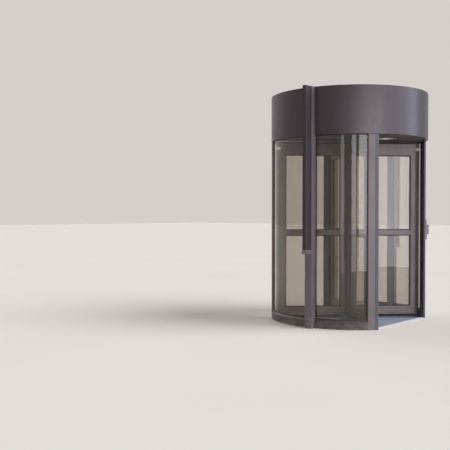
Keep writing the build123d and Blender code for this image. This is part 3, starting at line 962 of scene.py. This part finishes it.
for quarter, (side, end) in QUARTERS.items():
    beads = face_beads(GLASS_INNER - BEAD_DEPTH, GLASS_INNER, side, end)
    beads += face_beads(GLASS_OUTER, GLASS_OUTER + BEAD_DEPTH, side, end)
    fit(joined(f"{quarter}_glazing_beads", beads), "enclosure", gasket_rubber)

# %% [markdown]
# ## Sweeps of the wings
#
# A wing seals against the drum with brushes. At its tip a plastic carrier is clipped into the stile's slot
# and holds a row of bristles that reaches almost to the posts. It comes in two lengths, with a gap below
# the top. Along the top and bottom a slimmer holder does the same. All of them have to fill the place that
# the plain sweeps of the solids had, so these are measured first.

# %% Measure the sweeps
NOTCH = (2.035, 2.066)
EDGE_GAP = 0.0003
STILE_END = span("wing_1_stiles", along_wing)[1]
WING_BOTTOM, WING_TOP = span("wing_1_rails", height_of)
SWEEP_BOTTOM, SWEEP_TOP = span("wing_1_sweeps", height_of)
EDGE_START, TIP_RADIUS = span("wing_1_sweeps", along_wing)
EDGE_END = STILE_END - EDGE_GAP
print("wing", WING_BOTTOM, "to", WING_TOP, "sweeps", SWEEP_BOTTOM, "to", SWEEP_TOP, "tip at", TIP_RADIUS)

# %% [markdown]
# Much of what follows starts as a box between two corners and is divided where its shape changes. Loop Cut
# would do that by hand, but it needs a window. Bisect cuts a whole mesh along a plane without one.


# %% Boxes and cuts
def block(name, low, high):
    """A box between two corners, as a start."""
    low, high = Vector(low), Vector(high)
    middle = (low + high) / 2
    return new_piece(name, bpy.ops.mesh.primitive_cube_add, scale=high - low, size=1.0, location=middle)


def slice_at(point, normal, **options):
    """Cuts the whole mesh along a plane."""
    bpy.ops.mesh.select_all(action="SELECT")
    bpy.ops.mesh.bisect(plane_co=point, plane_no=normal, **options)


print("box and cut helpers ready")

# %% [markdown]
# A carrier could be an extruded outline. It starts as a box, because it then takes only four cuts: two for
# the band that is pushed in on both faces, and two for the tongue that goes into the stile's slot.

# %% Carriers
CARRIER_END = 0.860
CARRIER_HALF = 0.005
CARRIER_BAND = (0.836, 0.850)
CARRIER_ROUND = 0.0006
BAND_DEPTH = 0.0015
TONGUE = 0.0075
TONGUE_GAP = 0.0005
TONGUE_SPAN = (WING_BOTTOM + TONGUE_GAP, WING_TOP - TONGUE_GAP)
HOLDER_HALF = 0.004
HOLDER_HEIGHT = 0.009
HEAD_HOLDER_HEIGHT = 0.007
HOLDER_ROUND = 0.001


def carrier(bottom, top):
    """One length of the carrier at the wing's tip."""
    piece = block("carrier", (STILE_END, -CARRIER_HALF, bottom), (CARRIER_END, CARRIER_HALF, top))
    edit(piece)
    for level in TONGUE_SPAN:
        slice_at((0, 0, level), (0, 0, 1))
    for reach in CARRIER_BAND:
        slice_at((reach, 0, 0), (1, 0, 0))
    for face in (-1, 1):
        pick(lambda c, n: n.y * face > FACING and CARRIER_BAND[0] < c.x < CARRIER_BAND[1])
        extrude(0, -face * BAND_DEPTH, 0)
    pick(lambda c, n: n.x < -FACING and c.x < CARRIER_BAND[0] and TONGUE_SPAN[0] < c.z < TONGUE_SPAN[1])
    extrude(-TONGUE, 0, 0)
    leave()
    soften(piece, CARRIER_ROUND, segments=1)
    return piece


def holder(bottom, top):
    """The slim holder along the top or bottom of a wing."""
    piece = block("holder", (EDGE_START, -HOLDER_HALF, bottom), (EDGE_END, HOLDER_HALF, top))
    soften(piece, HOLDER_ROUND)
    return piece


carriers = [
    carrier(SWEEP_BOTTOM, NOTCH[0]),
    carrier(NOTCH[1], SWEEP_TOP),
    holder(WING_BOTTOM - HOLDER_HEIGHT, WING_BOTTOM),
    holder(WING_TOP, WING_TOP + HEAD_HOLDER_HEIGHT),
]
wing_carriers = joined("sweep_carriers", carriers)
fit_to_wings(wing_carriers, "sweep_carriers", carrier_plastic, stands_for=["sweeps"])

# %% [markdown]
# ## Bristles
#
# A brush is thousands of fibres, which would be too much to model for each door. From a step away they show
# as small tufts with a worn tip, so that is what is made: one tuft is a block whose tip is drawn in, and an
# array repeats it. The pitch is set so that a whole number of tufts fills each row.

# %% Rows of tufts
TUFT_PITCH = 0.006
TUFT_WIDTH = 0.0057
TUFT_HALF = 0.003
TUFT_TAPER = 0.72
TUFT_ROOT = 0.002
UP, OUT = Vector((0, 0, 1)), Vector((1, 0, 0))


def repeat(piece, count, step):
    """Repeats a piece in a row."""
    spacing = {"use_relative_offset": False, "use_constant_offset": True, "constant_offset_displace": step}
    apply_modifier(piece, "ARRAY", count=count, **spacing)


def tufts(start, bottom, end, top, along, tip):
    """A row of tufts between two corners: it runs along one axis and its tips point along another."""
    low, high = Vector((start, -TUFT_HALF, bottom)), Vector((end, TUFT_HALF, top))
    length = (high - low).dot(along)
    count = int(length / TUFT_PITCH)
    piece = block("tuft", low, high - along * (length - TUFT_WIDTH))
    edit(piece)
    pick(lambda c, n: n.dot(tip) > FACING)
    bpy.ops.transform.resize(value=(TUFT_TAPER,) * 3)
    leave()
    repeat(piece, count, along * (length / count))
    return piece


holder_foot = WING_BOTTOM - HOLDER_HEIGHT + TUFT_ROOT
holder_head = WING_TOP + HEAD_HOLDER_HEIGHT - TUFT_ROOT
bristles = [
    tufts(CARRIER_END - TUFT_ROOT, SWEEP_BOTTOM, TIP_RADIUS, NOTCH[0], along=UP, tip=OUT),
    tufts(CARRIER_END - TUFT_ROOT, NOTCH[1], TIP_RADIUS, SWEEP_TOP, along=UP, tip=OUT),
    tufts(EDGE_START, SWEEP_BOTTOM, EDGE_END, holder_foot, along=OUT, tip=-UP),
    tufts(EDGE_START, holder_head, EDGE_END, SWEEP_TOP, along=OUT, tip=UP),
]
fit_to_wings(joined("sweep_bristles", bristles), "sweep_bristles", brush_fibre)

# %% [markdown]
# ## The mat
#
# The entrance mat is a sheet with ribs of pile across the way in, 5 mm wide and 5 mm apart, cut round to
# the drum and straight along both thresholds. Separate ribs could lie on a plain disc, but their ends would
# have to follow its edge, so the ribs are drawn up out of the sheet itself. It starts as two circles that
# are bridged to a ring round the bearing's cup. Cuts along both thresholds trim it, and a cut at both sides
# of each rib marks the ribs. Then the whole is pulled up to the sheet's thickness and the ribs a little
# further.

# %% Sheet of the mat
CIRCLE_CORNERS = 160
RIB_PITCH = 0.010
RIB_WIDTH = 0.005
SHEET = 0.0075
CUP_RADIUS, FLOOR_RADIUS = span("floor_mat", reach_of)
MAT_REACH = span("floor_mat", depth_of)[1]
RIBS_EACH_WAY = int(MAT_REACH / RIB_PITCH)


def circle(name, radius):
    """A bare circle on the floor."""
    add_circle = bpy.ops.mesh.primitive_circle_add
    return new_piece(name, add_circle, vertices=CIRCLE_CORNERS, radius=radius, fill_type="NOTHING")


mat = joined("ribbed_mat", [circle("mat_edge", FLOOR_RADIUS), circle("mat_hole", CUP_RADIUS)])
edit(mat)
bpy.ops.mesh.select_mode(type="EDGE")
bpy.ops.mesh.select_all(action="SELECT")
bpy.ops.mesh.bridge_edge_loops()
for end in (-1, 1):
    slice_at((0, end * MAT_REACH, 0), (0, end, 0), clear_outer=True)
for rib in range(-RIBS_EACH_WAY, RIBS_EACH_WAY + 1):
    for edge in (-0.5, 0.5):
        slice_at((0, rib * RIB_PITCH + edge * RIB_WIDTH, 0), (0, 1, 0))
bpy.ops.mesh.select_mode(type="FACE")
bpy.ops.mesh.select_all(action="SELECT")
extrude(0, 0, SHEET)
bpy.ops.mesh.select_all(action="SELECT")
bpy.ops.mesh.normals_make_consistent(inside=False)
print("mat reaches", FLOOR_RADIUS, "m from the shaft, ribs", 2 * RIBS_EACH_WAY + 1)


# %% [markdown]
# The sheet is still in edit mode. Its top faces that lie in a rib's strip are picked and drawn up together,
# so that a rib rises out of the pile without a seam.


# %% Ribs of the mat
def on_a_rib(c, n):
    """True for the sheet's top faces that lie in a rib's strip."""
    rib = round(c.y / RIB_PITCH)
    in_strip = abs(c.y - rib * RIB_PITCH) < RIB_WIDTH / 2
    return n.z > FACING and c.z > SHEET / 2 and in_strip and abs(rib) <= RIBS_EACH_WAY


pick(on_a_rib)
extrude(0, 0, MAT_TOP - SHEET)
leave()
fit(mat, "enclosure", mat_pile, ["floor_mat"])

# %% [markdown]
# ## Ribs and screws of the thresholds
#
# The aluminium thresholds have four low ribs against slipping and a row of sunk screws between them. A
# pattern in the finish could show both, but shoes catch on them and light runs along them, so they are
# shapes. A rib is a long box with soft edges, sunk to half its height so that it never floats.

# %% Threshold ribs
RIB_LINES = (0.6815, 0.6875, 0.7015, 0.7070)
RIB_HALF_LENGTH = 0.538
RIB_HALF_WIDTH = 0.0012
RIB_HEIGHT = 0.0008
RIB_ROUND = 0.0005
ribs = []
for end in (-1, 1):
    for line in RIB_LINES:
        low = (-RIB_HALF_LENGTH, end * line - RIB_HALF_WIDTH, MAT_TOP - RIB_HEIGHT)
        high = (RIB_HALF_LENGTH, end * line + RIB_HALF_WIDTH, MAT_TOP + RIB_HEIGHT)
        ribs.append(block("threshold_rib", low, high))
        soften(ribs[-1], RIB_ROUND)
fit(joined("threshold_ribs", ribs), "enclosure", threshold_metal)

# %% [markdown]
# A screw is a short cylinder that stands in the threshold. Its top is inset and pushed down, which leaves a
# round socket. A thread would never show, so there is none.

# %% Threshold screws
SCREW_LINE = 0.6945
SCREW_PLACES = (-0.50, -0.25, 0.0, 0.25, 0.50)
SCREW_CORNERS = 24
SCREW_RADIUS = 0.0045
SCREW_ROUND = 0.0002
SOCKET_INSET = 0.0024
SOCKET_DEPTH = 0.0009
screws = []
for end in (-1, 1):
    for place in SCREW_PLACES:
        screw = new_piece(
            "threshold_screw",
            bpy.ops.mesh.primitive_cylinder_add,
            vertices=SCREW_CORNERS,
            radius=SCREW_RADIUS,
            depth=2 * RIB_HEIGHT,
            location=(place, end * SCREW_LINE, MAT_TOP),
        )
        edit(screw)
        pick(lambda c, n: n.z > FACING)
        bpy.ops.mesh.inset(thickness=SOCKET_INSET, depth=0.0)
        extrude(0, 0, -SOCKET_DEPTH)
        leave()
        soften(screw, SCREW_ROUND, segments=1)
        screws.append(screw)
fit(joined("threshold_screws", screws), "enclosure", shaft_steel)

# %% [markdown]
# ## Lenses of the ceiling lights
#
# The ceiling lights have a shallow opal dome. A disc pulled down by proportional editing could do, but a
# sphere has the even curve already: it is flattened, cut at its middle and closed with a flat back, which
# is pulled up to the solid's own seat inside the rim.

# %% Lenses
LENS_RADIUS = 0.0875
LENS_SEAT = levels("ceiling_lights")[-2]
LENS_RISE = 0.0085
LENS_EDGE = 0.0015
LENS_SEGMENTS, LENS_RINGS = 64, 32
LENS_SMOOTH_ANGLE = 35.0
LIGHT_CIRCLE = sum(span("ceiling_lights", reach_of)) / 2
lenses = []
for end in (-1, 1):
    lens = new_piece(
        "lens",
        bpy.ops.mesh.primitive_uv_sphere_add,
        scale=(1.0, 1.0, LENS_RISE / LENS_RADIUS),
        segments=LENS_SEGMENTS,
        ring_count=LENS_RINGS,
        radius=LENS_RADIUS,
        location=(0, end * LIGHT_CIRCLE, LENS_SEAT - LENS_EDGE),
    )
    edit(lens)
    slice_at((0, 0, LENS_SEAT - LENS_EDGE), (0, 0, 1), clear_outer=True, use_fill=True)
    pick(lambda c, n: abs(n.z) > FACING and c.z > LENS_SEAT - LENS_EDGE - MERGE)
    extrude(0, 0, LENS_EDGE)
    leave()
    bpy.ops.object.shade_smooth_by_angle(angle=radians(LENS_SMOOTH_ANGLE))
    lenses.append(lens)
fit(joined("ceiling_lenses", lenses), "enclosure", opal_plastic)

# %% [markdown]
# ## The reader's window and gasket
#
# The reader looks out through a dark acrylic window that is let into its face, and a rubber gasket closes
# the joint round the foot of its head. Both could be drawn as curves and filled. A small flat box whose
# upright edges are rounded gives the same outline with less to go wrong. It is modelled at the origin, lying
# on its back, and then stood up and turned to the post.

# %% Plates with rounded corners
CORNER_SEGMENTS = 5
READER_ANGLE = 42.80
READER_HEIGHT = sum(span("entry_reader", height_of)) / 2
READER_FACE = span("entry_reader", lambda point: point.dot(outwards(READER_ANGLE, 1.0, 0.0)))[1]


def plate(name, size, corner):
    """A flat block at the origin with rounded corners."""
    half = Vector(size) / 2
    piece = block(name, -half, half)
    edit(piece)
    bpy.ops.mesh.select_mode(type="EDGE")
    bpy.ops.mesh.select_all(action="DESELECT")
    shape = bmesh.from_edit_mesh(piece.data)
    for side in shape.edges:
        side.select_set(abs(side.verts[0].co.z - side.verts[1].co.z) > half.z)
    bmesh.update_edit_mesh(piece.data)
    bpy.ops.mesh.bevel(offset=corner, segments=CORNER_SEGMENTS, affect="EDGES")
    leave()
    return piece


def stand_at(piece, radius):
    """Stands a plate up in front of the reader, with its middle at a radius."""
    turn = Matrix.Rotation(radians(READER_ANGLE), 4, "Z") @ Matrix.Rotation(radians(90), 4, "X")
    piece.data.transform(Matrix.Translation(outwards(READER_ANGLE, radius, READER_HEIGHT)) @ turn)


print("reader's face", READER_FACE, "m from the shaft, its middle", READER_HEIGHT, "m high")

# %% [markdown]
# The window is a thin plate whose front lies a hair behind the housing's face, in the recess that the solid
# has for it.

# %% Dark window
WINDOW_SIZE = (0.0234, 0.0614, 0.0012)
WINDOW_ROUND = 0.0037
WINDOW_EDGE = 0.0002
WINDOW_SUNK = 0.0003
window = plate("reader_window", WINDOW_SIZE, WINDOW_ROUND)
soften(window, WINDOW_EDGE, segments=1)
stand_at(window, READER_FACE - WINDOW_SUNK - WINDOW_SIZE[2] / 2)
fit(window, "enclosure", reader_window)

# %% [markdown]
# The gasket starts as the same kind of plate. Its top and bottom are deleted, which leaves a band, and
# Solidify gives the band a thickness inwards, so that its outside keeps the size that it was made to.

# %% Gasket round the head's foot
FOOT_SIZE = (0.0460, 0.1160, 0.0070)
FOOT_ROUND = 0.0100
FOOT_WALL = 0.0022
FOOT_EDGE = 0.0007
FOOT_SEAT = 0.9561
foot_gasket = plate("reader_gasket", FOOT_SIZE, FOOT_ROUND)
edit(foot_gasket)
pick(lambda c, n: abs(n.z) > FACING)
bpy.ops.mesh.delete(type="FACE")
leave()
apply_modifier(foot_gasket, "SOLIDIFY", thickness=FOOT_WALL, offset=-1.0)
soften(foot_gasket, FOOT_EDGE)
stand_at(foot_gasket, FOOT_SEAT + FOOT_SIZE[2] / 2)
fit(foot_gasket, "enclosure", gasket_rubber)

# %% [markdown]
# ## The floor
#
# A plain pale floor shows where the door stands and takes its shadow. It lies a hair below the door, so
# that the two never share a face, and it isn't part of the door.

# %% Floor
FLOOR_SIZE = 120.0
FLOOR_DROP = 0.0006
FLOOR_TONES = (linear(229, 223, 219), linear(237, 231, 227))
add_plane = bpy.ops.mesh.primitive_plane_add
floor = new_piece("studio_floor", add_plane, size=FLOOR_SIZE, location=(0, 0, -FLOOR_DROP))
floor_finish = Finish("pale_floor", FLOOR_TONES[0], 0.95, Specular_IOR_Level=0.2)
floor_finish.set("Base Color", floor_finish.blend(floor_finish.noise(scale=0.7, detail=4.0), *FLOOR_TONES))
floor.data.materials.append(floor_finish.material)
print("floor ready")
